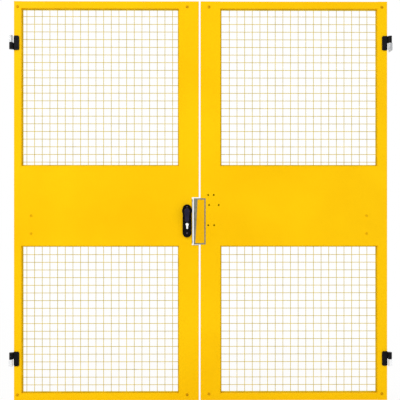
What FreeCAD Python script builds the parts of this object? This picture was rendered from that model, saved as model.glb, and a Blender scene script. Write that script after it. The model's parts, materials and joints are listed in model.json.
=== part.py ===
import FreeCAD, Part
import math
import os

# Double door of a mesh partition: two framed leaves hung on pintle brackets, with a lock in the left leaf.
# Sizes are millimetres. X runs across the door from the middle of the gap between the leaves, Y runs back
# from the front face of the leaves, and Z runs up from their lower edge. The pieces of a leaf are made on
# the right side, where X grows towards the post, and are mirrored for the left leaf.

# The two leaves and the gaps beside them
post_gap = 24.0             # from a post's face to the leaf beside it
leaf_gap = 9.0              # between the two leaves
leaf_height = 2073.0
leaf_depth = 40.0

# The leaf frame, of thin box profile
left_hinge_stile_width = 38.0
right_hinge_stile_width = 50.0
meeting_stile_width = 103.5
window_width = 818.0        # between the stiles of a leaf
rail_height = 36.0
panel_low = 803.0           # lower edge of the middle panel
panel_height = 415.0
profile_wall = 2.0
panel_wall = 1.5
fold_flat = 2.0             # outer flat of the folded corners

# The welded mesh in each window
mesh_pitch = 40.0
wire = 3.0
edge_bar = 6.0              # bar that frames each mesh, as wide as this from the front
edge_bar_depth = 7.0
layer_gap = 0.2             # between the upright wires and the level wires
least_cell = 10.0           # narrowest cell left beside an edge bar
left_first_upright = 141.5  # wire nearest the meeting stile
right_first_upright = 155.0
upper_first_level = 1239.0  # lowest level wire of the upper mesh
lower_first_level = 75.5    # and of the lower mesh

# The hinges: a black leaf half on the stile and a plated pintle bracket on the post
hinge_setback = 217.0       # from the middle of a hinge to the end of the leaf
hinge_axis_out = 10.5       # from the edge of the leaf to the pin's axis
hinge_axis_front = 11.0     # from the front face of the leaf to the pin's axis
hinge_plate_width = 28.0
hinge_plate_height = 75.0
hinge_plate_thick = 4.5
hinge_plate_cut = 5.0       # off its free corners
knuckle_radius = 10.0
knuckle_height = 35.0
knuckle_cap = 4.0           # closed end of the knuckle
boss_radius = 7.0
boss_height = 36.0
bearing_gap = 0.6           # between the knuckle and the boss
pin_radius = 5.0
pin_clearance = 0.05        # on the radius
pin_tip_gap = 2.0
strap_thick = 5.0
strap_front = 1.0           # from the pin's axis to the strap's front end
strap_length = 54.0
strap_hole_radius = 4.5
strap_hole_spacing = 24.0
strap_hole_end = 10.0       # from the last hole to the strap's back end

# The lock in the left leaf's meeting stile
lock_axis = 65.5            # from the middle of the gap to the spindle and the cylinder
spindle_level = 985.0
cylinder_drop = 72.0        # from the spindle down to the cylinder
cylinder_radius = 8.5
cylinder_slot = 10.0
cylinder_height = 33.0
lock_window_room = 4.0      # round the spindle and the cylinder, in the stile behind the escutcheons
lock_case_width = 52.0
lock_case_depth = 16.0
lock_case_height = 210.0
lock_case_wall = 1.5
forend_face = 38.0          # from the middle of the gap to the forend's face
forend_thick = 3.0
forend_width = 24.0
forend_height = 235.0
bolt_width = 12.0
latch_height = 20.0
latch_level = 985.0
deadbolt_height = 32.0
deadbolt_level = 913.0
bolt_clearance = 0.5
bolt_reveal = 0.5           # what the drawn-back bolts still stand out of the forend
bolt_tail = 8.0             # of each bolt, guided between the sides of the case
latch_slope = 6.0           # of the latch's slanted nose, along its throw

# The strike on the right leaf, which reaches across the gap into a recess in the left leaf
strike_level = 930.0        # middle of the strike
strike_height = 240.0
strike_reach = 31.0         # across the middle of the gap
strike_seat = 31.0          # from the middle of the gap into the right leaf
strike_wall = 2.0
strike_cover_thick = 2.0
strike_rim = 7.0            # of the strike box, seen round its cover
strike_lip_top = 20.0       # of the strike box, seen beside the recess at the cover's upper end
strike_lip_foot = 8.0       # and at its lower end
strike_clearance = 5.0      # above and below the strike in the recess

# The escutcheons and the lever set
escutcheon_width = 46.0
escutcheon_height = 171.0
escutcheon_low = 847.0
escutcheon_thick = 9.0
escutcheon_bevel = 2.5
rose_radius = 26.0
neck_radius = 8.0
neck_clearance = 0.3
spindle_side = 8.0
spindle_clearance = 0.5
finger_room = 24.0          # between the escutcheon and the grip
grip_thick = 14.0
grip_head_radius = 14.0     # of the grip's upper end, round the spindle
grip_tip_radius = 10.0
grip_drop = 48.0            # from the spindle down to the middle of the tip
grip_bevel = 3.0

# The holes for a door switch in the right leaf's meeting stile: level, first hole, spacing
switch_hole_radius = 4.5
switch_holes = [(1067.0, 44.0, 29.0), (1015.0, 49.0, 50.0), (910.0, 44.0, 31.0)]

# Places that follow from the sizes above
meeting_edge = leaf_gap / 2
window_inner = meeting_edge + meeting_stile_width
window_outer = window_inner + window_width
left_edge = window_outer + left_hinge_stile_width
right_edge = window_outer + right_hinge_stile_width
panel_high = panel_low + panel_height
strap_y = -hinge_axis_front - strap_front
strap_last_hole = strap_y + strap_length - strap_hole_end
strike_low = strike_level - strike_height / 2
strike_high = strike_level + strike_height / 2
recess_wall = forend_face + forend_thick
recess_low = strike_low - strike_clearance
recess_high = strike_high + strike_clearance
hinge_levels = {"upper": leaf_height - hinge_setback, "lower": hinge_setback}
cylinder_level = spindle_level - cylinder_drop
lock_middle = leaf_depth / 2
case_face = recess_wall + profile_wall
case_front = lock_middle - lock_case_depth / 2
case_back = lock_middle + lock_case_depth / 2
bolt_front = lock_middle - bolt_width / 2
bolt_back = lock_middle + bolt_width / 2
bolt_tip = forend_face - bolt_reveal
bolt_shoulder = case_face + lock_case_wall
same_place = 1e-6
up = FreeCAD.Vector(0, 0, 1)
back = FreeCAD.Vector(0, 1, 0)
across = FreeCAD.Vector(1, 0, 0)


def block(x0, x1, y0, y1, z0, z1):
    return Part.makeBox(x1 - x0, y1 - y0, z1 - z0, FreeCAD.Vector(x0, y0, z0))


def rod(radius, length, x, y, z, along):
    return Part.makeCylinder(radius, length, FreeCAD.Vector(x, y, z), along)


def fold_edges(shape, along):
    edges = [e for e in shape.Edges if abs(abs(e.tangentAt(e.FirstParameter).dot(along)) - 1) < same_place]
    return shape.makeChamfer(fold_flat, edges)


# Frame profiles

def stile(x0, x1):
    # Capped at its upper end and open at its foot
    outer = fold_edges(block(x0, x1, 0, leaf_depth, 0, leaf_height), up)
    wall = profile_wall
    hollow = block(x0 + wall, x1 - wall, wall, leaf_depth - wall, 0, leaf_height - wall)
    return outer.cut(hollow)


def rail(z0, z1, wall):
    outer = fold_edges(block(window_inner, window_outer, 0, leaf_depth, z0, z1), across)
    inner = block(window_inner, window_outer, wall, leaf_depth - wall, z0 + wall, z1 - wall)
    return outer.cut(inner)


def steps_between(first, low, high):
    start = math.ceil((low - first) / mesh_pitch)
    stop = math.floor((high - first) / mesh_pitch)
    return [first + n * mesh_pitch for n in range(start, stop + 1)]


def mesh(z0, z1, first_upright, first_level):
    y0 = (leaf_depth - edge_bar_depth) / 2
    y1 = y0 + edge_bar_depth
    x_low = window_inner + edge_bar
    x_high = window_outer - edge_bar
    z_low = z0 + edge_bar
    z_high = z1 - edge_bar
    frame = block(window_inner, window_outer, y0, y1, z0, z1)
    frame = frame.cut(block(x_low, x_high, y0, y1, z_low, z_high))
    upright_y = leaf_depth / 2 - layer_gap / 2 - wire
    level_y = leaf_depth / 2 + layer_gap / 2
    wires = []
    for x in steps_between(first_upright, x_low + least_cell, x_high - least_cell):
        wires.append(block(x - wire / 2, x + wire / 2, upright_y, upright_y + wire, z_low, z_high))
    for z in steps_between(first_level, z_low + least_cell, z_high - least_cell):
        wires.append(block(x_low, x_high, level_y, level_y + wire, z - wire / 2, z + wire / 2))
    return frame.multiFuse(wires)


# Hinges

def hinge_leaf(leaf_edge, level, knuckle_up):
    y_front = -hinge_plate_thick
    axis_x = leaf_edge + hinge_axis_out
    x_far = leaf_edge - hinge_plate_width
    half = hinge_plate_height / 2
    plate = block(x_far, leaf_edge, y_front, 0, level - half, level + half)
    corners = [e for e in plate.Edges if abs(e.tangentAt(e.FirstParameter).dot(back)) > 1 - same_place]
    # The corner beside the knuckle's arm stays square.
    arm_corner = FreeCAD.Vector(leaf_edge, y_front / 2, level + half if knuckle_up else level - half)
    corners = [e for e in corners if e.CenterOfMass.distanceToPoint(arm_corner) > same_place]
    plate = plate.makeChamfer(hinge_plate_cut, corners)
    z0 = level if knuckle_up else level - knuckle_height
    arm = block(leaf_edge - hinge_plate_cut, axis_x, y_front, 0, z0, z0 + knuckle_height)
    knuckle = rod(knuckle_radius, knuckle_height, axis_x, -hinge_axis_front, z0, up)
    bore_z = z0 if knuckle_up else z0 + knuckle_cap
    bore_radius = pin_radius + pin_clearance
    bore = rod(bore_radius, knuckle_height - knuckle_cap, axis_x, -hinge_axis_front, bore_z, up)
    return plate.fuse([arm, knuckle]).cut(bore).removeSplitter()


def post_bracket(leaf_edge, level, pin_up):
    z0 = level - bearing_gap - boss_height if pin_up else level + bearing_gap
    post_x = leaf_edge + post_gap
    axis_x = leaf_edge + hinge_axis_out
    axis_y = -hinge_axis_front
    boss = rod(boss_radius, boss_height, axis_x, axis_y, z0, up)
    pin_length = bearing_gap + knuckle_height - knuckle_cap - pin_tip_gap
    pin_z = z0 + boss_height if pin_up else z0 - pin_length
    pin = rod(pin_radius, pin_length, axis_x, axis_y, pin_z, up)
    strap = block(post_x - strap_thick, post_x, strap_y, strap_y + strap_length, z0, z0 + boss_height)
    web = block(axis_x, post_x, strap_y, axis_y + boss_radius, z0, z0 + boss_height)
    bracket = strap.fuse([web, boss, pin])
    holes = [rod(strap_hole_radius, strap_thick, post_x - strap_thick, y, z0 + boss_height / 2, across)
             for y in (strap_last_hole, strap_last_hole - strap_hole_spacing)]
    return bracket.cut(holes).removeSplitter()


# Lock and strike

def cylinder_hole(y0, y1):
    slot = cylinder_slot / 2
    drop = cylinder_height - cylinder_radius - slot
    barrel = rod(cylinder_radius, y1 - y0, lock_axis, y0, cylinder_level, back)
    foot = rod(slot, y1 - y0, lock_axis, y0, cylinder_level - drop, back)
    shank = block(lock_axis - slot, lock_axis + slot, y0, y1, cylinder_level - drop, cylinder_level)
    return barrel.fuse([foot, shank]).removeSplitter()


def bolt_openings(x0, x1):
    y0 = bolt_front - bolt_clearance
    y1 = bolt_back + bolt_clearance
    openings = []
    for level, height in ((latch_level, latch_height), (deadbolt_level, deadbolt_height)):
        half = height / 2 + bolt_clearance
        openings.append(block(x0, x1, y0, y1, level - half, level + half))
    return openings


def lock_stile():
    # The stile is cut to three lengths: above the recess for the strike, beside it, and below it.
    wall = profile_wall
    lining = block(meeting_edge, recess_wall + wall, 0, leaf_depth, recess_low - wall, recess_high + wall)
    lining = fold_edges(lining, up)
    recess = block(meeting_edge, recess_wall, 0, leaf_depth, recess_low, recess_high)
    half = cylinder_radius + lock_window_room
    window_low = cylinder_level + cylinder_radius - cylinder_height - lock_window_room
    window = block(lock_axis - half, lock_axis + half, 0, leaf_depth, window_low, spindle_level + half)
    cuts = [recess, window] + bolt_openings(recess_wall, recess_wall + wall)
    whole = stile(meeting_edge, window_inner).fuse(lining).cut(cuts).removeSplitter()
    lengths = {
        "upper_meeting_stile": (recess_high, leaf_height),
        "lock_housing": (recess_low, recess_high),
        "lower_meeting_stile": (0, recess_low),
    }
    return {name: whole.common(block(meeting_edge, window_inner, 0, leaf_depth, z0, z1))
            for name, (z0, z1) in lengths.items()}


def lock_case():
    x1 = case_face + lock_case_width
    middle = (spindle_level + cylinder_level) / 2
    z0 = middle - lock_case_height / 2
    z1 = middle + lock_case_height / 2
    wall = lock_case_wall
    case = block(case_face, x1, case_front, case_back, z0, z1)
    hollow = block(case_face + wall, x1 - wall, case_front + wall, case_back - wall, z0 + wall, z1 - wall)
    # Square-cut, wide enough for the spindle to turn and for the cylinder
    room = spindle_side / math.sqrt(2) + spindle_clearance
    spindle_hole = block(lock_axis - room, lock_axis + room, case_front, case_back,
                         spindle_level - room, spindle_level + room)
    cylinder_top = cylinder_level + cylinder_radius
    cylinder_cut = block(lock_axis - cylinder_radius, lock_axis + cylinder_radius, case_front, case_back,
                         cylinder_top - cylinder_height, cylinder_top)
    cuts = [hollow, spindle_hole, cylinder_cut]
    return case.cut(cuts + bolt_openings(case_face, case_face + wall))


def bolt(nose, level, height):
    # The nose is an outline in plan, and the tail is as wide as the case is inside.
    z0 = level - height / 2
    corners = [FreeCAD.Vector(x, y, z0) for x, y in nose]
    head = Part.Face(Part.makePolygon(corners + corners[:1])).extrude(FreeCAD.Vector(0, 0, height))
    tail = block(bolt_shoulder, bolt_shoulder + bolt_tail, case_front + lock_case_wall,
                 case_back - lock_case_wall, z0, z0 + height)
    return head.fuse(tail).removeSplitter()


def latch_bolt():
    nose = [(bolt_tip, bolt_front), (bolt_shoulder, bolt_front),
            (bolt_shoulder, bolt_back), (bolt_tip + latch_slope, bolt_back)]
    return bolt(nose, latch_level, latch_height)


def dead_bolt():
    nose = [(bolt_tip, bolt_front), (bolt_shoulder, bolt_front),
            (bolt_shoulder, bolt_back), (bolt_tip, bolt_back)]
    return bolt(nose, deadbolt_level, deadbolt_height)


def lock_forend():
    y0 = lock_middle - forend_width / 2
    half = forend_height / 2
    plate = block(forend_face, recess_wall, y0, y0 + forend_width, strike_level - half, strike_level + half)
    return plate.cut(bolt_openings(forend_face, recess_wall))


def strike_stile():
    seat = block(meeting_edge, strike_seat, 0, leaf_depth, strike_low, strike_high)
    holes = []
    for level, first, spacing in switch_holes:
        for x in (first, first + spacing):
            holes.append(rod(switch_hole_radius, profile_wall, x, 0, level, back))
    return stile(meeting_edge, window_inner).cut([seat] + holes)


def strike_box():
    wall = strike_wall
    outer = block(-strike_reach, strike_seat, 0, leaf_depth, strike_low, strike_high)
    inner = block(wall - strike_reach, strike_seat, wall, leaf_depth - wall,
                  strike_low + wall, strike_high - wall)
    return outer.cut([inner] + bolt_openings(-strike_reach, wall - strike_reach))


def strike_cover():
    # The edge beside the recess leans, so that the cover is wider at its foot.
    x_foot = strike_lip_foot - strike_reach
    x_top = strike_lip_top - strike_reach
    x_far = strike_seat - strike_rim
    z0 = strike_low + strike_rim
    z1 = strike_high - strike_rim
    outline = [(x_foot, z0), (x_far, z0), (x_far, z1), (x_top, z1)]
    corners = [FreeCAD.Vector(x, -strike_cover_thick, z) for x, z in outline]
    return Part.Face(Part.makePolygon(corners + corners[:1])).extrude(back * strike_cover_thick)


# Escutcheon and lever, made on the front face and mirrored for the back

def round_ended_plate(high, high_radius, low, low_radius, y0, thick):
    # Two round ends one above the other, joined by the tangents to both
    lean = (high_radius - low_radius) / (high - low)
    out = math.sqrt(1 - lean * lean)

    def end_points(level, radius):
        z = level - radius * lean
        return [FreeCAD.Vector(lock_axis + side * radius * out, y0, z) for side in (-1, 1)]

    top = FreeCAD.Vector(lock_axis, y0, high + high_radius)
    bottom = FreeCAD.Vector(lock_axis, y0, low - low_radius)
    high_left, high_right = end_points(high, high_radius)
    low_left, low_right = end_points(low, low_radius)
    edges = [Part.Arc(high_left, top, high_right), Part.LineSegment(high_right, low_right),
             Part.Arc(low_right, bottom, low_left), Part.LineSegment(low_left, high_left)]
    outline = Part.Wire([edge.toShape() for edge in edges])
    return Part.Face(outline).extrude(FreeCAD.Vector(0, thick, 0))


def bevel_rim(shape, size, y):
    rim = [e for e in shape.Edges
           if abs(e.BoundBox.YMin - y) < same_place and abs(e.BoundBox.YMax - y) < same_place]
    return shape.makeChamfer(size, rim)


def escutcheon():
    y0 = -escutcheon_thick
    radius = escutcheon_width / 2
    high = escutcheon_low + escutcheon_height - radius
    plate = round_ended_plate(high, radius, escutcheon_low + radius, radius, y0, escutcheon_thick)
    rose = rod(rose_radius, escutcheon_thick, lock_axis, y0, spindle_level, back)
    plate = bevel_rim(plate.fuse(rose).removeSplitter(), escutcheon_bevel, y0)
    neck_hole = rod(neck_radius + neck_clearance, escutcheon_thick, lock_axis, y0, spindle_level, back)
    return plate.cut([neck_hole, cylinder_hole(y0, 0)])


def lever():
    grip_back = -escutcheon_thick - finger_room
    grip_front = grip_back - grip_thick
    grip = round_ended_plate(spindle_level, grip_head_radius, spindle_level - grip_drop, grip_tip_radius,
                             grip_front, grip_thick)
    grip = bevel_rim(grip, grip_bevel, grip_front)
    neck = rod(neck_radius, -grip_back, lock_axis, grip_back, spindle_level, back)
    return grip.fuse(neck).removeSplitter()


def spindle():
    half = spindle_side / 2
    return block(lock_axis - half, lock_axis + half, 0, leaf_depth,
                 spindle_level - half, spindle_level + half)


def to_back(shape):
    return shape.mirror(FreeCAD.Vector(0, leaf_depth / 2, 0), back)


def to_left(shape):
    return shape.mirror(FreeCAD.Vector(0, 0, 0), across)


def leaf_frame(leaf_edge, first_upright):
    return {
        "hinge_stile": stile(window_outer, leaf_edge),
        "top_rail": rail(leaf_height - rail_height, leaf_height, profile_wall),
        "bottom_rail": rail(0, rail_height, profile_wall),
        "middle_panel": rail(panel_low, panel_high, panel_wall),
        "upper_mesh": mesh(panel_high, leaf_height - rail_height, first_upright, upper_first_level),
        "lower_mesh": mesh(rail_height, panel_low, first_upright, lower_first_level),
    }


def build():
    left = leaf_frame(left_edge, left_first_upright)
    right = leaf_frame(right_edge, right_first_upright)
    left.update(lock_stile())
    right["meeting_stile"] = strike_stile()
    nodes = {}
    # The upper left hinge is turned over, so that the left leaf can't be lifted off its pins.
    leaves = (("left", left, left_edge, "upper"), ("right", right, right_edge, ""))
    for side, leaf, edge, reversed_hinge in leaves:
        for place, level in hinge_levels.items():
            knuckle_up = place != reversed_hinge
            leaf[place + "_hinge"] = hinge_leaf(edge, level, knuckle_up)
            bracket = post_bracket(edge, level, knuckle_up)
            nodes[f"{place}_{side}_post_bracket"] = to_left(bracket) if side == "left" else bracket
        for name, shape in leaf.items():
            nodes[f"{side}_{name}"] = to_left(shape) if side == "left" else shape
    nodes["lock_case"] = to_left(lock_case())
    nodes["lock_forend"] = to_left(lock_forend())
    nodes["latch_bolt"] = to_left(latch_bolt())
    nodes["dead_bolt"] = to_left(dead_bolt())
    nodes["front_escutcheon"] = to_left(escutcheon())
    nodes["back_escutcheon"] = to_left(to_back(escutcheon()))
    nodes["front_lever"] = to_left(lever().fuse(spindle()).removeSplitter())
    nodes["back_lever"] = to_left(to_back(lever()))
    nodes["strike_box"] = strike_box()
    nodes["strike_cover"] = strike_cover()
    return nodes


# The origin is on the post's side of the lower left bracket, midway between its two bolt holes.
origin = FreeCAD.Vector(-left_edge - post_gap,
                        strap_last_hole - strap_hole_spacing / 2,
                        hinge_levels["lower"] - bearing_gap - boss_height / 2)

os.makedirs("parts", exist_ok=True)
for name, shape in build().items():
    shape.translate(-origin)
    shape.exportStep(f"parts/{name}.step")
    print(name, shape.isValid(), len(shape.Solids), round(shape.Volume))
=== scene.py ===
import json
import math

import bmesh
import bpy
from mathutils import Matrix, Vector


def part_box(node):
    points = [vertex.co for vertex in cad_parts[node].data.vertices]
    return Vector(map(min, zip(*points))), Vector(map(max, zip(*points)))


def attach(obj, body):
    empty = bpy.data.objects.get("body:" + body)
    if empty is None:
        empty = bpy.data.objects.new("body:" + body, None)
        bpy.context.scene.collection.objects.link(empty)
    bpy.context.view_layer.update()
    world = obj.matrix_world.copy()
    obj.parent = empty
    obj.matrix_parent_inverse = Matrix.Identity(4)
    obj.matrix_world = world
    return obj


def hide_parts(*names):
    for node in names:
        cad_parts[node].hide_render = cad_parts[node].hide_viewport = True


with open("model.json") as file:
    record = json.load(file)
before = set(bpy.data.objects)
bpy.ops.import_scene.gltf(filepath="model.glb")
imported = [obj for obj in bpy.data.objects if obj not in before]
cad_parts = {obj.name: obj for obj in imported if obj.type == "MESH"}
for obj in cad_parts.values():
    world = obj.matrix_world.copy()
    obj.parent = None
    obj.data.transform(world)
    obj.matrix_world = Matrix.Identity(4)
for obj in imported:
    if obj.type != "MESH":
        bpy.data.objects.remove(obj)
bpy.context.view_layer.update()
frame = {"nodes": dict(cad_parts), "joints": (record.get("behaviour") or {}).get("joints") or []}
nodes = frame["nodes"]
scene = bpy.context.scene

# places that the frame gives, in metres
leafLow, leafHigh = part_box("left_hinge_stile")
frontFace, backFace = leafLow.y, leafHigh.y
leafFoot, leafTop = leafLow.z, leafHigh.z
midDepth = (frontFace + backFace) / 2
gapMiddle = (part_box("left_upper_meeting_stile")[1].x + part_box("right_meeting_stile")[0].x) / 2
spindle = Vector(next(joint["pos_m"] for joint in frame["joints"] if joint["name"] == "lever_turn"))
toFront, toBack, toRight = Vector((0, -1, 0)), Vector((0, 1, 0)), Vector((1, 0, 0))
sides = ("left", "right")
levels = ("upper", "lower")
hair = 1e-5  # two places closer than this are the same
facing = 0.99  # a face looks along a direction if its normal follows it this far


# modelling by operators; a rounding is a radius and its number of steps

def selectOnly(*pieces):
    if bpy.context.mode != "OBJECT":
        bpy.ops.object.mode_set(mode="OBJECT")
    bpy.ops.object.select_all(action="DESELECT")
    for piece in pieces:
        piece.select_set(True)
        bpy.context.view_layer.objects.active = piece


def settle(name):  # the object at the origin, its place in its mesh
    piece = bpy.context.object
    piece.name = name
    piece.data.name = name
    bpy.ops.object.transform_apply(location=True, rotation=True, scale=True)
    return piece


def addBlock(name, low, high):
    selectOnly()
    low, high = Vector(low), Vector(high)
    bpy.ops.mesh.primitive_cube_add(size=1, location=(low + high) / 2, scale=high - low)
    return settle(name)


def addRod(name, corners, radius, start, end):
    selectOnly()
    start, end = Vector(start), Vector(end)
    turn = (end - start).to_track_quat("Z", "Y").to_euler()
    bpy.ops.mesh.primitive_cylinder_add(vertices=corners, radius=radius, depth=(end - start).length,
                                        location=(start + end) / 2, rotation=turn)
    return settle(name)


def addDrop(name, middle, stretch):
    selectOnly()
    bpy.ops.mesh.primitive_ico_sphere_add(subdivisions=1, radius=1, location=middle, scale=stretch)
    return settle(name)


def openEdit(piece, kind):
    selectOnly(piece)
    bpy.ops.object.mode_set(mode="EDIT")
    bpy.ops.mesh.select_mode(type=kind)
    bpy.ops.mesh.select_all(action="DESELECT")
    return bmesh.from_edit_mesh(piece.data)


def closeEdit():
    bpy.ops.object.mode_set(mode="OBJECT")


def pickFaces(piece, wanted):  # wanted looks at a face's normal
    mesh = openEdit(piece, "FACE")
    for face in mesh.faces:
        if wanted(face.normal):
            face.select_set(True)
    bmesh.update_edit_mesh(piece.data)


def pickEdges(piece, wanted):  # wanted looks at an edge's two ends
    mesh = openEdit(piece, "EDGE")
    for edge in mesh.edges:
        if wanted(edge.verts[0].co, edge.verts[1].co):
            edge.select_set(True)
    bmesh.update_edit_mesh(piece.data)


def pickRim(piece, outward, wanted=lambda middle: True):  # edges round the faces that look outward
    mesh = openEdit(piece, "EDGE")
    for edge in mesh.edges:
        looking = [face.normal.dot(outward) > facing for face in edge.link_faces]
        if any(looking) and not all(looking) and wanted((edge.verts[0].co + edge.verts[1].co) / 2):
            edge.select_set(True)
    bmesh.update_edit_mesh(piece.data)


def roundEdges(radius, steps):  # of what is picked
    bpy.ops.mesh.bevel(offset=radius, segments=steps, affect="EDGES", clamp_overlap=True)
    closeEdit()


def useModifier(piece, kind, **settings):
    selectOnly(piece)
    modifier = piece.modifiers.new(kind.lower(), kind)
    for setting, value in settings.items():
        setattr(modifier, setting, value)
    bpy.ops.object.modifier_apply(modifier=modifier.name)


def shapeWith(piece, tool, operation):
    useModifier(piece, "BOOLEAN", operation=operation, object=tool, solver="EXACT")
    bpy.data.objects.remove(tool)


def repeatPiece(piece, count, step):
    useModifier(piece, "ARRAY", count=count, use_relative_offset=False, use_constant_offset=True,
                constant_offset_displace=step)


def copyPiece(piece, name, shift):
    selectOnly(piece)
    bpy.ops.object.duplicate(linked=False)
    bpy.ops.transform.translate(value=shift)
    return settle(name)


def mirrorPiece(piece, name, axis, plane):
    selectOnly(piece)
    bpy.ops.object.duplicate(linked=False)
    flip, centre = Vector((1, 1, 1)), Vector()
    setattr(flip, axis, -1)
    setattr(centre, axis, plane)
    bpy.ops.transform.resize(value=flip, center_override=centre)
    twin = settle(name)
    openEdit(twin, "FACE")
    bpy.ops.mesh.select_all(action="SELECT")
    bpy.ops.mesh.normals_make_consistent(inside=False)
    closeEdit()
    return twin


def joinPieces(name, pieces):
    selectOnly(*pieces)
    bpy.ops.object.join()
    piece = bpy.context.object
    piece.name = name
    piece.data.name = name
    return piece


def finishPiece(piece, body, material, crease=30):
    selectOnly(piece)
    bpy.ops.object.shade_smooth_by_angle(angle=math.radians(crease))
    piece.data.materials.clear()
    piece.data.materials.append(material)
    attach(piece, body)


# materials, all on Object coordinates

class Flow:  # a socket that takes part in sums
    def __init__(self, graph, socket):
        self.graph = graph
        self.socket = socket

    def work(self, operation, first, second):
        return self.graph.add("ShaderNodeMath", {"operation": operation}, {0: first, 1: second})

    def __add__(self, other):
        return self.work("ADD", self, other)

    __radd__ = __add__

    def __sub__(self, other):
        return self.work("SUBTRACT", self, other)

    def __rsub__(self, other):
        return self.work("SUBTRACT", other, self)

    def __mul__(self, other):
        return self.work("MULTIPLY", self, other)

    __rmul__ = __mul__

    def most(self, other):
        return self.work("MAXIMUM", self, other)


class Graph:  # the nodes of a material or of the room
    def __init__(self, owner):
        owner.use_nodes = True
        self.tree = owner.node_tree

    def fill(self, node, values):
        for socket, value in values.items():
            if isinstance(value, Flow):
                self.tree.links.new(value.socket, node.inputs[socket])
            else:
                node.inputs[socket].default_value = value

    def add(self, kind, settings, values, output=0):
        node = self.tree.nodes.new(kind)
        for setting, value in settings.items():
            if setting == "stops":
                for stop, (place, tone) in zip(node.color_ramp.elements, value):
                    stop.position = place
                    stop.color = (tone, tone, tone, 1)
            else:
                setattr(node, setting, value)
        self.fill(node, values)
        return Flow(self, node.outputs[output])

    def seenRays(self):  # 1 where the eye, a mirror or glass looks
        eye, mirror, glass = [self.add("ShaderNodeLightPath", {}, {}, f"Is {kind} Ray")
                              for kind in ("Camera", "Glossy", "Transmission")]
        return eye.most(mirror).most(glass)

    def showBoth(self, output, share, plain, seen):
        both = self.add("ShaderNodeMixShader", {}, {0: share, 1: plain, 2: seen})
        self.fill(self.tree.nodes[output], {"Surface": both})


class Surface(Graph):
    def __init__(self, name, fixed):
        self.material = bpy.data.materials.new(name)
        super().__init__(self.material)
        self.shader = self.tree.nodes["Principled BSDF"]
        self.fill(self.shader, fixed)
        self.place = self.add("ShaderNodeTexCoord", {}, {}, "Object")

    def noise(self, look):
        stretch = look.get("stretch", (1, 1, 1))
        place = self.add("ShaderNodeMapping", {}, {"Vector": self.place, "Scale": stretch})
        return self.add("ShaderNodeTexNoise", {},
                        {"Vector": place, "Scale": look["scale"], "Detail": look["detail"]})

    def patches(self, look):  # a noise with its middle stretched over 0 to 1
        stops = ((look["low"], 0), (look["high"], 1))
        return self.add("ShaderNodeValToRGB", {"stops": stops}, {"Fac": self.noise(look)})

    def blend(self, share, first, second):  # by the Mix node's colour sockets
        return self.add("ShaderNodeMix", {"data_type": "RGBA"}, {0: share, 6: first, 7: second}, 2)

    def coat(self, colour, rough, height, relief):
        bump = {"Height": height, "Strength": relief["strength"], "Distance": relief["deep"]}
        normal = self.add("ShaderNodeBump", {}, bump, "Normal")
        self.fill(self.shader, {"Base Color": colour, "Roughness": rough, "Normal": normal})
        return self.material


coatLook = {"deep": (0.960, 0.545, 0.0010, 1), "fresh": (1.0, 0.600, 0.0018, 1),
            "speck": (0.84, 0.44, 0.001, 1), "gloss": 0.36, "specular": 0.035,
            "clouds": {"scale": 2.2, "detail": 3, "low": 0.35, "high": 0.65, "rough": 0.05},
            "flecks": {"scale": 90, "detail": 3, "low": 0.40, "high": 0.72, "rough": 0.08, "share": 0.06},
            "peel": {"scale": 520, "detail": 2}, "waves": {"scale": 140, "detail": 2, "share": 0.35},
            "relief": {"strength": 0.5, "deep": 0.00010}}
# a darker copy of the coat for the strike cover: painted shade, as if the cover lay in shadow
shadedCoverLook = dict(coatLook, deep=(0.880, 0.470, 0.0010, 1), fresh=(0.930, 0.520, 0.0016, 1))
# a darker copy of the coat for the painted rivets: painted shade that makes their heads read as dark dots
rivetShadeLook = dict(coatLook, deep=(0.78, 0.43, 0.0010, 1), fresh=(0.84, 0.48, 0.0014, 1))


def yellowCoat(name, look):  # satin powder coat with a fine orange peel
    surface = Surface(name, {"Specular IOR Level": look["specular"]})
    clouds = surface.patches(look["clouds"])
    flecks = surface.patches(look["flecks"])
    colour = surface.blend(clouds, look["deep"], look["fresh"])
    colour = surface.blend(flecks * look["flecks"]["share"], colour, look["speck"])
    rough = look["gloss"] + look["flecks"]["rough"] * flecks + look["clouds"]["rough"] * clouds
    peel = surface.noise(look["peel"]) + look["waves"]["share"] * surface.noise(look["waves"])
    return surface.coat(colour, rough, peel, look["relief"])


# the wire's colours are a darker copy of the coat: painted shade for the round wire's shaded sides
wireShadeLook = {"deep": (0.56, 0.43, 0.012, 1), "fresh": (0.76, 0.585, 0.020, 1),
            "gloss": 0.42, "specular": 0.14,
            "clouds": {"scale": 14, "detail": 3, "low": 0.32, "high": 0.68},
            "drips": {"scale": 260, "detail": 2, "rough": 0.12}, "relief": {"strength": 0.5, "deep": 0.0002}}


def wireShadeCoat():  # the same coat, a little dull on the thin drawn wire, its colour darkened as painted shade for the round wire's sides
    surface = Surface("wireShadeCoat", {"Specular IOR Level": wireShadeLook["specular"]})
    clouds = surface.patches(wireShadeLook["clouds"])
    drips = surface.noise(wireShadeLook["drips"])
    colour = surface.blend(clouds, wireShadeLook["deep"], wireShadeLook["fresh"])
    rough = wireShadeLook["gloss"] + wireShadeLook["drips"]["rough"] * drips
    return surface.coat(colour, rough, drips, wireShadeLook["relief"])


hingeLook = {"dark": (0.0064, 0.0066, 0.0076, 1), "worn": (0.0130, 0.0130, 0.0160, 1),
             "gloss": 0.30, "specular": 0.055,
             "scuffs": {"scale": 70, "detail": 4, "low": 0.48, "high": 0.80, "rough": 0.14},
             "grain": {"scale": 900, "detail": 2, "rough": 0.05},
             "relief": {"strength": 0.4, "deep": 0.00006}}


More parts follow.
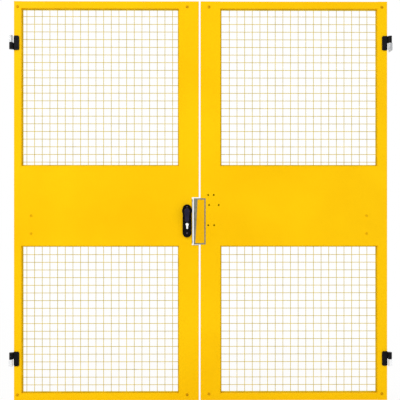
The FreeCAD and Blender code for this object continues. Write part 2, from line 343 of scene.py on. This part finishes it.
def hingeBlack():  # black stove enamel, its colour tinted bluish as a painted sheen
    surface = Surface("hingeBlack", {"Specular IOR Level": hingeLook["specular"]})
    scuffs = surface.patches(hingeLook["scuffs"])
    grain = surface.noise(hingeLook["grain"])
    colour = surface.blend(scuffs, hingeLook["dark"], hingeLook["worn"])
    rough = hingeLook["gloss"] + hingeLook["scuffs"]["rough"] * scuffs + hingeLook["grain"]["rough"] * grain
    return surface.coat(colour, rough, grain, hingeLook["relief"])


plasticLook = {"dark": (0.0015, 0.0014, 0.0022, 1), "rubbedAndSheen": (0.0045, 0.0042, 0.0068, 1),
               "gloss": 0.34, "specular": 0.06,
               "hands": {"scale": 42, "detail": 3, "low": 0.42, "high": 0.72, "rough": 0.16},
               "grain": {"scale": 1500, "detail": 2, "rough": 0.05},
               "relief": {"strength": 0.35, "deep": 0.00005}}
# the lever's copy: both colours lifted to a bluish tone as a painted sheen
gripSheenLook = dict(plasticLook, dark=(0.0095, 0.0088, 0.0290, 1), rubbedAndSheen=(0.0170, 0.0160, 0.0480, 1),
                specular=0.12)


def lockPlastic(name, look):  # black moulded plastic, spark-grained, lighter in patches worn by hands; the lighter colour also carries a bluish painted sheen, and on the lever both colours do
    surface = Surface(name, {"Specular IOR Level": look["specular"]})
    hands = surface.patches(look["hands"])
    grain = surface.noise(look["grain"])
    colour = surface.blend(hands, look["dark"], look["rubbedAndSheen"])
    rough = look["gloss"] + look["hands"]["rough"] * (1 - hands) + look["grain"]["rough"] * grain
    return surface.coat(colour, rough, grain, look["relief"])


platedLook = {"bright": (0.95, 0.95, 0.96, 1), "clouded": (0.86, 0.87, 0.88, 1), "gloss": 0.32,
              "clouds": {"scale": 120, "detail": 4, "low": 0.36, "high": 0.70, "rough": 0.14},
              "turning": {"scale": 60, "detail": 2, "stretch": (1, 1, 14), "rough": 0.06},
              "relief": {"strength": 0.25, "deep": 0.00008}}
# a darker copy of the plating for the upper brackets: painted shade
bracketShadeLook = dict(platedLook, bright=(0.49, 0.50, 0.51, 1), clouded=(0.39, 0.40, 0.41, 1))


def platedSteel(name, look):  # zinc plating, faintly clouded
    surface = Surface(name, {"Metallic": 1.0})
    clouds = surface.patches(look["clouds"])
    turning = surface.noise(look["turning"])
    colour = surface.blend(clouds, look["bright"], look["clouded"])
    rough = look["gloss"] + look["clouds"]["rough"] * clouds + look["turning"]["rough"] * turning
    return surface.coat(colour, rough, turning, look["relief"])


lockLook = {"bright": (0.31, 0.32, 0.275, 1), "dull": (0.155, 0.165, 0.135, 1), "gloss": 0.46,
            "streaks": {"scale": 46, "detail": 3, "stretch": (8, 8, 0.5), "low": 0.35, "high": 0.68,
                        "rough": 0.12, "share": 0.5},
            "clouds": {"scale": 55, "detail": 4, "low": 0.38, "high": 0.70, "rough": 0.08, "share": 0.5},
            "relief": {"strength": 0.3, "deep": 0.00008}}
forendSteelLook = dict(lockLook, bright=(0.120, 0.120, 0.100, 1), dull=(0.060, 0.060, 0.050, 1))
plateScrewSteelLook = dict(lockLook, bright=(0.125, 0.098, 0.140, 1), dull=(0.085, 0.066, 0.098, 1))


def lockSteel(name, look):  # dull zinc on rolled sheet, streaked along the roll
    surface = Surface(name, {"Metallic": 1.0})
    streaks = surface.patches(look["streaks"])
    clouds = surface.patches(look["clouds"])
    dull = look["streaks"]["share"] * streaks + look["clouds"]["share"] * clouds
    colour = surface.blend(dull, look["bright"], look["dull"])
    rough = look["gloss"] + look["streaks"]["rough"] * streaks + look["clouds"]["rough"] * clouds
    return surface.coat(colour, rough, streaks, look["relief"])


goldLook = {"gold": (0.76, 0.42, 0.006, 1), "olive": (0.58, 0.335, 0.006, 1), "gloss": 0.56,
            "clouds": {"scale": 160, "detail": 3, "low": 0.35, "high": 0.66, "rough": 0.16},
            "relief": {"strength": 0.2, "deep": 0.00006}}


def passivatedSteel():  # yellow-passivated zinc, gold shading into olive
    surface = Surface("passivatedSteel", {"Metallic": 1.0})
    clouds = surface.patches(goldLook["clouds"])
    colour = surface.blend(clouds, goldLook["gold"], goldLook["olive"])
    rough = goldLook["gloss"] + goldLook["clouds"]["rough"] * clouds
    return surface.coat(colour, rough, clouds, goldLook["relief"])


finishes = {"yellow_coat": yellowCoat("yellowCoat", coatLook), "yellow_mesh": wireShadeCoat(),
            "black_hinge": hingeBlack(), "black_plastic": lockPlastic("lockPlastic", plasticLook),
            "plated_steel": platedSteel("platedSteel", platedLook),
            "lock_steel": lockSteel("lockSteel", lockLook)}
goldFinish = passivatedSteel()
gripSheenFinish = lockPlastic("gripSheenPlastic", gripSheenLook)
plateScrewFinish = lockSteel("plateScrewSteel", plateScrewSteelLook)
rivetShadeFinish = yellowCoat("rivetShadeCoat", rivetShadeLook)
bracketShadeFinish = platedSteel("bracketShadeSteel", bracketShadeLook)
for node in nodes.values():
    for place in node.material_slots:
        place.material = finishes[place.material.name.split(".")[0]]
# the strike cover gets the darker copy of the coat, painted shade
nodes["strike_cover"].material_slots[0].material = yellowCoat("shadedCoverCoat", shadedCoverLook)
nodes["lock_forend"].material_slots[0].material = lockSteel("forendSteel", forendSteelLook)
for side in sides:  # the upper brackets get a darker copy of the plating, painted shade
    nodes[f"upper_{side}_post_bracket"].material_slots[0].material = bracketShadeFinish
print("finishes:", ", ".join(sorted(finishes)))


# hinges, brackets, strike and forend with their sharp edges broken

edgeLook = {"width": {"hinge": 0.0008, "bracket": 0.0006, "box": 0.0008, "cover": 0.0004, "forend": 0.0004},
            "steps": 2, "flat": math.radians(0.5), "sharp": math.radians(40), "crease": 50,
            "flatWeight": 100}


def breakEdges(node, name, body):
    piece = bpy.data.objects.new(name, nodes[node].data.copy())
    scene.collection.objects.link(piece)
    openEdit(piece, "VERT")
    bpy.ops.mesh.select_all(action="SELECT")
    bpy.ops.mesh.remove_doubles(threshold=hair)
    bpy.ops.mesh.dissolve_limited(angle_limit=edgeLook["flat"])
    closeEdit()
    useModifier(piece, "BEVEL", width=edgeLook["width"][node.split("_")[-1]], segments=edgeLook["steps"],
                limit_method="ANGLE", angle_limit=edgeLook["sharp"])
    finishPiece(piece, body, nodes[node].material_slots[0].material, edgeLook["crease"])
    useModifier(piece, "WEIGHTED_NORMAL", weight=edgeLook["flatWeight"], keep_sharp=True)
    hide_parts(node)


for side in sides:
    for level in levels:
        breakEdges(f"{side}_{level}_hinge", f"{side}_{level}_filed_hinge", f"{side}_leaf")
        breakEdges(f"{level}_{side}_post_bracket", f"{level}_{side}_filed_bracket", "post_brackets")
breakEdges("strike_box", "folded_strike_box", "right_leaf")
breakEdges("strike_cover", "folded_strike_cover", "right_leaf")
breakEdges("lock_forend", "filed_forend", "left_leaf")
print("edges broken on hinges, brackets, strike and forend")


# welded wire mesh in each window

meshLook = {"pitch": 0.040, "wire": 0.0030, "wireSides": 8, "sunk": 0.9, "leastCell": 0.010,
            "firstUpright": {"left": -0.1415, "right": 0.155},
            "firstRung": {"upper": 1.239, "lower": 0.0755}, "nugget": (0.0021, 0.0022, 0.0021),
            "bar": 0.006, "barRound": (0.0012, 2), "intoBar": 0.003, "crease": 50}


def wirePlaces(first, low, high):  # first wire inside the window and how many there are
    pitch, room = meshLook["pitch"], meshLook["bar"] + meshLook["leastCell"]
    start = first + pitch * math.ceil((low + room - first) / pitch - hair)
    return start, 1 + math.floor((high - room - start) / pitch + hair)


def edgeBars(low, high):  # square bar bent round the window's edge
    bars = addBlock("bars", low, high)
    pickFaces(bars, lambda normal: abs(normal.y) > facing)
    bpy.ops.mesh.inset(thickness=meshLook["bar"], use_even_offset=True)
    bpy.ops.mesh.bridge_edge_loops()  # through from the front to the back
    closeEdit()
    radius, steps = meshLook["barRound"]
    useModifier(bars, "BEVEL", width=radius, segments=steps, limit_method="ANGLE")
    return bars


def makeWireMesh(side, level):
    node = f"{side}_{level}_mesh"
    low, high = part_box(node)
    middle = (low.y + high.y) / 2
    radius, pitch = meshLook["wire"] / 2, meshLook["pitch"]
    uprightX, uprights = wirePlaces(gapMiddle + meshLook["firstUpright"][side], low.x, high.x)
    rungZ, rungs = wirePlaces(leafFoot + meshLook["firstRung"][level], low.z, high.z)
    reach = meshLook["bar"] - meshLook["intoBar"]
    uprightY, rungY = middle - radius * meshLook["sunk"], middle + radius * meshLook["sunk"]
    upright = addRod("upright", meshLook["wireSides"], radius,
                     (uprightX, uprightY, low.z + reach), (uprightX, uprightY, high.z - reach))
    repeatPiece(upright, uprights, (pitch, 0, 0))
    rung = addRod("rung", meshLook["wireSides"], radius,
                  (low.x + reach, rungY, rungZ), (high.x - reach, rungY, rungZ))
    repeatPiece(rung, rungs, (0, 0, pitch))
    nugget = addDrop("nugget", (uprightX, middle, rungZ), meshLook["nugget"])
    repeatPiece(nugget, uprights, (pitch, 0, 0))
    repeatPiece(nugget, rungs, (0, 0, pitch))
    panel = joinPieces(f"{side}_{level}_wire_mesh", [upright, rung, nugget, edgeBars(low, high)])
    finishPiece(panel, f"{side}_leaf", finishes["yellow_mesh"], meshLook["crease"])
    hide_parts(node)
    print(f"wire mesh, {side} {level}: {uprights} uprights, {rungs} rungs")


for side in sides:
    for level in levels:
        makeWireMesh(side, level)


# weld beads in the corners of the windows, where the rails and the panel meet the stiles

weldLook = {"bead": (0.0034, 0.0021, 0.0034), "step": 0.0026, "margin": 0.005, "crease": 60}


def makeCornerWelds(side):
    low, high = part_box(f"{side}_upper_mesh")
    lowerLow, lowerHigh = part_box(f"{side}_lower_mesh")
    start = frontFace + weldLook["margin"]
    count = 1 + int((backFace - frontFace - 2 * weldLook["margin"]) / weldLook["step"])
    bead = addDrop("bead", (low.x, start, low.z), weldLook["bead"])
    repeatPiece(bead, count, (0, weldLook["step"], 0))
    beads = [bead]
    for x in (low.x, high.x):
        for z in (lowerLow.z, lowerHigh.z, low.z, high.z):
            if (x, z) != (low.x, low.z):
                beads.append(copyPiece(bead, "bead", (x - low.x, 0, z - low.z)))
    welds = joinPieces(f"{side}_corner_welds", beads)
    finishPiece(welds, f"{side}_leaf", finishes["yellow_coat"], weldLook["crease"])


seamLook = {"fold": 0.0020, "sunk": 0.00012, "round": (0.0018, 2)}


def makeSeamWelds(side):  # ground down nearly flush, in the folds where rails and panel butt on the stiles
    fold, near = seamLook["fold"], frontFace + seamLook["sunk"]
    deep = frontFace + fold
    welds = []
    for length in ("bottom_rail", "middle_panel", "top_rail"):
        low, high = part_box(f"{side}_{length}")
        weld = addBlock("weld", (low.x - fold, near, low.z + fold), (low.x, deep, high.z - fold))
        pickEdges(weld, lambda a, b: max(a.x, b.x) < low.x - fold + hair and min(a.y, b.y) > deep - hair)
        roundEdges(*seamLook["round"])
        beside = mirrorPiece(weld, "weld", "x", (low.x + high.x) / 2)
        behind = [mirrorPiece(piece, "weld", "y", midDepth) for piece in (weld, beside)]
        welds += [weld, beside] + behind
    seams = joinPieces(f"{side}_seam_welds", welds)
    finishPiece(seams, f"{side}_leaf", finishes["yellow_coat"])


for side in sides:
    makeCornerWelds(side)
    makeSeamWelds(side)
print("corner welds and seam welds on both leaves")


# screws and rivets

screwLook = {"steps": 4, "socketSides": 6}


def makeScrew(name, look, seat, outward):  # a low round head with a hexagon socket
    seat = Vector(seat)
    top = seat + outward * look["high"]
    head = addRod(name, look["corners"], look["head"], seat, top)
    pickRim(head, outward)
    roundEdges(look["round"], screwLook["steps"])
    socket = addRod("socket", screwLook["socketSides"], look["socket"],
                    top - outward * look["deep"], top + outward * look["deep"])
    shapeWith(head, socket, "DIFFERENCE")
    return head


cornerScrewLook = {"head": 0.0074, "high": 0.0024, "round": 0.0015, "socket": 0.0036, "deep": 0.0018,
                   "corners": 24, "top": 0.029, "foot": {"left": 0.030, "right": 0.0335},
                   "fromGap": {"left": 0.0655, "right": 0.048}, "aside": {"left": 0.0, "right": 0.0035}}


def makeCornerScrews(side, face, y, outward):
    low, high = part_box(f"{side}_hinge_stile")
    inward = 1 if side == "left" else -1  # from the post towards the gap
    hingeX = (low.x + high.x) / 2 + inward * cornerScrewLook["aside"][side]
    meetingX = gapMiddle - inward * cornerScrewLook["fromGap"][side]
    lowZ, highZ = leafFoot + cornerScrewLook["foot"][side], leafTop - cornerScrewLook["top"]
    screw = makeScrew(f"{side}_{face}_corner_screws", cornerScrewLook, (hingeX, y, lowZ), outward)
    repeatPiece(screw, 2, (meetingX - hingeX, 0, 0))
    repeatPiece(screw, 2, (0, 0, highZ - lowZ))
    finishPiece(screw, f"{side}_leaf", goldFinish)


rivetLook = {"head": 0.0070, "high": 0.0024, "round": 0.0019, "steps": 5, "dimple": 0.0030, "deep": 0.0016,
             "corners": 20, "inset": {"left": 0.051, "right": 0.058}, "level": 0.0636, "apart": 0.093}


def makePanelRivets(side, face, y, outward):  # domed heads, hollow where the mandrel broke off
    low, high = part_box(f"{side}_middle_panel")
    inset = rivetLook["inset"][side]
    seat = Vector((low.x + inset if side == "left" else high.x - inset, y, low.z + rivetLook["level"]))
    rivet = addRod(f"{side}_{face}_panel_rivets", rivetLook["corners"], rivetLook["head"],
                   seat, seat + outward * rivetLook["high"])
    pickRim(rivet, outward)
    roundEdges(rivetLook["round"], rivetLook["steps"])
    pickFaces(rivet, lambda normal: normal.dot(outward) > facing)
    bpy.ops.mesh.inset(thickness=rivetLook["head"] - rivetLook["round"] - rivetLook["dimple"])
    bpy.ops.mesh.extrude_region_move(TRANSFORM_OT_translate={"value": outward * -rivetLook["deep"]})
    closeEdit()
    repeatPiece(rivet, 2, (0, 0, rivetLook["apart"]))
    finishPiece(rivet, f"{side}_leaf", rivetShadeFinish)


hingeScrewLook = {"head": 0.0056, "high": 0.0018, "round": 0.0012, "socket": 0.0026, "deep": 0.0013,
                  "corners": 20, "plate": 0.0045, "inset": 0.015}


def makeHingeScrews(side, level):  # on the plate in front of the stile
    low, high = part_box(f"{side}_{level}_hinge")
    stileLow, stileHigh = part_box(f"{side}_hinge_stile")
    x = (stileLow.x + high.x) / 2 if side == "left" else (stileHigh.x + low.x) / 2
    seat = (x, frontFace - hingeScrewLook["plate"], low.z + hingeScrewLook["inset"])
    screw = makeScrew(f"{side}_{level}_hinge_screws", hingeScrewLook, seat, toFront)
    repeatPiece(screw, 2, (0, 0, high.z - low.z - 2 * hingeScrewLook["inset"]))
    finishPiece(screw, f"{side}_leaf", finishes["black_hinge"])


for side in sides:
    for face, y, outward in (("front", frontFace, toFront), ("back", backFace, toBack)):
        makeCornerScrews(side, face, y, outward)
        makePanelRivets(side, face, y, outward)
    for level in levels:
        makeHingeScrews(side, level)
print("screws and rivets on both leaves")


# the lock plates and the levers

plateLook = {"width": 0.046, "endShare": 0.999, "endSteps": 14, "rose": 0.026, "roseSides": 72,
             "neckHole": 0.0086, "keyRadius": 0.0085, "keySlot": 0.010, "keyHeight": 0.033, "keyDrop": 0.072,
             "holeSides": 40, "cutPast": 0.01, "rim": 0.001, "round": (0.0030, 5), "keyRound": (0.0006, 2)}


def makeLockPlate():
    low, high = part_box("front_escutcheon")
    half, slotHalf = plateLook["width"] / 2, plateLook["keySlot"] / 2
    plate = addBlock("front_lock_plate", (spindle.x - half, low.y, low.z),
                     (spindle.x + half, high.y, high.z))
    pickEdges(plate, lambda a, b: abs(a.x - b.x) < hair and abs(a.z - b.z) < hair)
    roundEdges(half * plateLook["endShare"], plateLook["endSteps"])
    rose = addRod("rose", plateLook["roseSides"], plateLook["rose"],
                  (spindle.x, low.y, spindle.z), (spindle.x, high.y, spindle.z))
    shapeWith(plate, rose, "UNION")

    near, far = low.y - plateLook["cutPast"], high.y + plateLook["cutPast"]
    keyZ = spindle.z - plateLook["keyDrop"]
    slotEnd = keyZ + plateLook["keyRadius"] - plateLook["keyHeight"] + slotHalf
    holes = ((spindle.z, plateLook["neckHole"]), (keyZ, plateLook["keyRadius"]), (slotEnd, slotHalf))
    for z, radius in holes:
        hole = addRod("hole", plateLook["holeSides"], radius, (spindle.x, near, z), (spindle.x, far, z))
        shapeWith(plate, hole, "DIFFERENCE")
    slot = addBlock("slot", (spindle.x - slotHalf, near, slotEnd), (spindle.x + slotHalf, far, keyZ))
    shapeWith(plate, slot, "DIFFERENCE")

    def atHole(middle):
        rim = plateLook["rim"]
        reach = plateLook["neckHole"] + rim
        atKey = slotEnd - slotHalf - rim < middle.z < keyZ + plateLook["keyRadius"] + rim
        atNeck = abs(middle.z - spindle.z) < reach
        return abs(middle.x - spindle.x) < reach and (atNeck or atKey)

    pickRim(plate, toFront, atHole)
    roundEdges(*plateLook["keyRound"])
    pickRim(plate, toFront, lambda middle: not atHole(middle))
    roundEdges(*plateLook["round"])
    return plate


plateScrewLook = {"head": 0.0042, "high": 0.0014, "round": 0.0010, "socket": 0.0020, "deep": 0.0010,
                  "corners": 20, "fromFoot": 0.0220, "fromTop": 0.0125}


def makePlateScrews():
    low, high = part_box("front_escutcheon")
    heights = (low.z + plateScrewLook["fromFoot"], high.z - plateScrewLook["fromTop"])
    screws = [makeScrew("plateScrew", plateScrewLook, (spindle.x, low.y, z), toFront) for z in heights]
    return joinPieces("front_lock_plate_screws", screws)


leverLook = {"thick": 0.014, "tip": 0.010, "endShare": 0.98, "endSteps": 12,
             "frontRound": (0.0048, 6), "backRound": (0.0026, 4),
             "neck": 0.008, "neckSides": 40, "neckSunk": 0.003, "fillet": (0.003, 4),
             "collar": 0.0112, "collarSides": 48, "collarHigh": 0.0030, "collarGap": 0.0005,
             "collarRound": (0.0015, 3)}


def makeLever():  # a grip that narrows to its lower end, on a neck with a collar
    low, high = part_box("front_lever")
    half, tip = (high.x - low.x) / 2, leverLook["tip"]
    back = low.y + leverLook["thick"]
    lever = addBlock("front_lever_grip", low, (high.x, back, high.z))
    pickFaces(lever, lambda normal: normal.z < -facing)
    bpy.ops.transform.resize(value=(tip / half, 1, 1), center_override=(spindle.x, low.y, low.z))
    closeEdit()
    for end, radius in ((high.z, half), (low.z, tip)):
        pickEdges(lever, lambda a, b: max(abs(a.z - end), abs(b.z - end), abs(a.x - b.x)) < hair)
        roundEdges(radius * leverLook["endShare"], leverLook["endSteps"])
    pickRim(lever, toFront)
    roundEdges(*leverLook["frontRound"])
    pickRim(lever, toBack)
    roundEdges(*leverLook["backRound"])

    neck = addRod("neck", leverLook["neckSides"], leverLook["neck"],
                  (spindle.x, back - leverLook["neckSunk"], spindle.z), (spindle.x, frontFace, spindle.z))
    shapeWith(lever, neck, "UNION")

    def atNeck(point):
        fromAxis = math.hypot(point.x - spindle.x, point.z - spindle.z)
        return abs(point.y - back) < hair and abs(fromAxis - leverLook["neck"]) < hair

    pickEdges(lever, lambda a, b: atNeck(a) and atNeck(b))
    roundEdges(*leverLook["fillet"])

    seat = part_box("front_escutcheon")[0].y - leverLook["collarGap"]
    collar = addRod("collar", leverLook["collarSides"], leverLook["collar"],
                    (spindle.x, seat - leverLook["collarHigh"], spindle.z), (spindle.x, seat, spindle.z))
    pickRim(collar, toFront)
    roundEdges(*leverLook["collarRound"])
    shapeWith(lever, collar, "UNION")
    return lever


spindleLook = {"square": 0.008, "edge": 0.0004}


def makeSpindle():
    half = spindleLook["square"] / 2
    bar = addBlock("spindle", (spindle.x - half, frontFace, spindle.z - half),
                   (spindle.x + half, backFace, spindle.z + half))
    useModifier(bar, "BEVEL", width=spindleLook["edge"], segments=1, limit_method="ANGLE")
    return bar


lockPlate, plateScrews, lever = makeLockPlate(), makePlateScrews(), makeLever()
backPlate = mirrorPiece(lockPlate, "back_lock_plate", "y", midDepth)
backScrews = mirrorPiece(plateScrews, "back_lock_plate_screws", "y", midDepth)
backLever = mirrorPiece(lever, "back_lever_grip", "y", midDepth)
lever = joinPieces("front_lever_grip", [makeSpindle(), lever])
for piece, node in ((lockPlate, "front_escutcheon"), (backPlate, "back_escutcheon")):
    finishPiece(piece, "left_leaf", finishes["black_plastic"])
    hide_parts(node)
for piece, node in ((lever, "front_lever"), (backLever, "back_lever")):
    finishPiece(piece, "lever_set", gripSheenFinish)
    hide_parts(node)
for piece in (plateScrews, backScrews):
    finishPiece(piece, "left_leaf", plateScrewFinish)
print("lock plates and levers done")


# the forend's screws, of the plate screws' size

forendLook = {"inset": 0.011}


def makeForendScrews():
    low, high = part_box("lock_forend")
    seat = (high.x, (low.y + high.y) / 2, low.z + forendLook["inset"])
    screw = makeScrew("forend_screws", plateScrewLook, seat, toRight)
    repeatPiece(screw, 2, (0, 0, high.z - low.z - 2 * forendLook["inset"]))
    finishPiece(screw, "left_leaf", finishes["plated_steel"])


makeForendScrews()
print("forend screws done")


# floor, light and camera

floorLook = {"drop": 0.018, "size": 60.0, "tone": (0.95, 0.95, 0.95, 1), "rough": 0.9, "specular": 0.0,
             "paper": 0.87, "whiteFrom": 1.0, "whiteAt": 3.6}


def makeFloor():
    selectOnly()
    place = (gapMiddle, 0, leafFoot - floorLook["drop"])
    bpy.ops.mesh.primitive_plane_add(size=floorLook["size"], location=place)
    floor = settle("floor")
    paper = Surface("floorPaper", {"Base Color": floorLook["tone"], "Roughness": floorLook["rough"],
                                   "Specular IOR Level": floorLook["specular"]})
    away = paper.add("ShaderNodeVectorMath", {"operation": "DISTANCE"},
                     {0: paper.place, 1: (gapMiddle, 0, leafFoot)}, "Value")
    fade = {"Value": away, "From Min": floorLook["whiteFrom"], "From Max": floorLook["whiteAt"],
            "To Min": floorLook["paper"]}  # plain white away from the door, so no horizon shows
    white = paper.add("ShaderNodeMapRange", {}, fade, "Result")
    plain = Flow(paper, paper.shader.outputs[0])
    glow = paper.add("ShaderNodeEmission", {}, {})
    paper.showBoth("Material Output", paper.seenRays() * white, plain, glow)
    floor.data.materials.append(paper.material)


roomLook = {"white": (1, 1, 1, 1), "light": 0.70}


def lightRoom():  # lit at a plain level, seen as white
    scene.world = bpy.data.worlds.new("studio")
    room = Graph(scene.world)
    light = room.tree.nodes["Background"]
    room.fill(light, {"Color": roomLook["white"], "Strength": roomLook["light"]})
    white = room.add("ShaderNodeBackground", {}, {"Color": roomLook["white"]})
    room.showBoth("World Output", room.seenRays(), Flow(room, light.outputs[0]), white)


lampLook = {"keyLamp": {"place": (-1.9, -3.6, 3.4), "size": 2.6, "power": 88.0, "tone": (1.0, 0.985, 0.96)},
            "fillLamp": {"place": (4.2, -3.4, 1.2), "size": 3.0, "power": 18.0, "tone": (0.97, 0.985, 1.0)},
            "backLamp": {"place": (2.6, 4.2, 3.2), "size": 3.0, "power": 90.0, "tone": (1.0, 1.0, 1.0)}}


def addLamp(name, look, aim):
    selectOnly()
    turn = (Vector(aim) - Vector(look["place"])).to_track_quat("-Z", "Y").to_euler()
    bpy.ops.object.light_add(type="AREA", location=look["place"], rotation=turn)
    lamp = bpy.context.object
    lamp.name = name
    lamp.data.shape = "SQUARE"
    lamp.data.size = look["size"]
    lamp.data.energy = look["power"]
    lamp.data.color = look["tone"]


cameraLook = {"distance": 3.2, "frame": 2.078, "aside": 0.0016, "level": 1.0410, "turn": math.radians(0.30),
              "sensor": 36.0}


def addCamera():
    selectOnly()
    distance, turn = cameraLook["distance"], cameraLook["turn"]
    x = gapMiddle + cameraLook["aside"] - distance * math.tan(turn)  # stands a little to the left
    place = (x, frontFace - distance, leafFoot + cameraLook["level"])
    bpy.ops.object.camera_add(location=place, rotation=(math.pi / 2, 0, -turn))
    camera = bpy.context.object
    camera.data.sensor_width = cameraLook["sensor"]
    camera.data.lens = cameraLook["sensor"] * distance / cameraLook["frame"]
    scene.camera = camera


doorMiddle = (gapMiddle, midDepth, (leafFoot + leafTop) / 2)
makeFloor()
lightRoom()
for name, look in lampLook.items():
    addLamp(name, look, doorMiddle)
addCamera()
scene.view_settings.view_transform = "Standard"
print("floor, lamps and camera set")
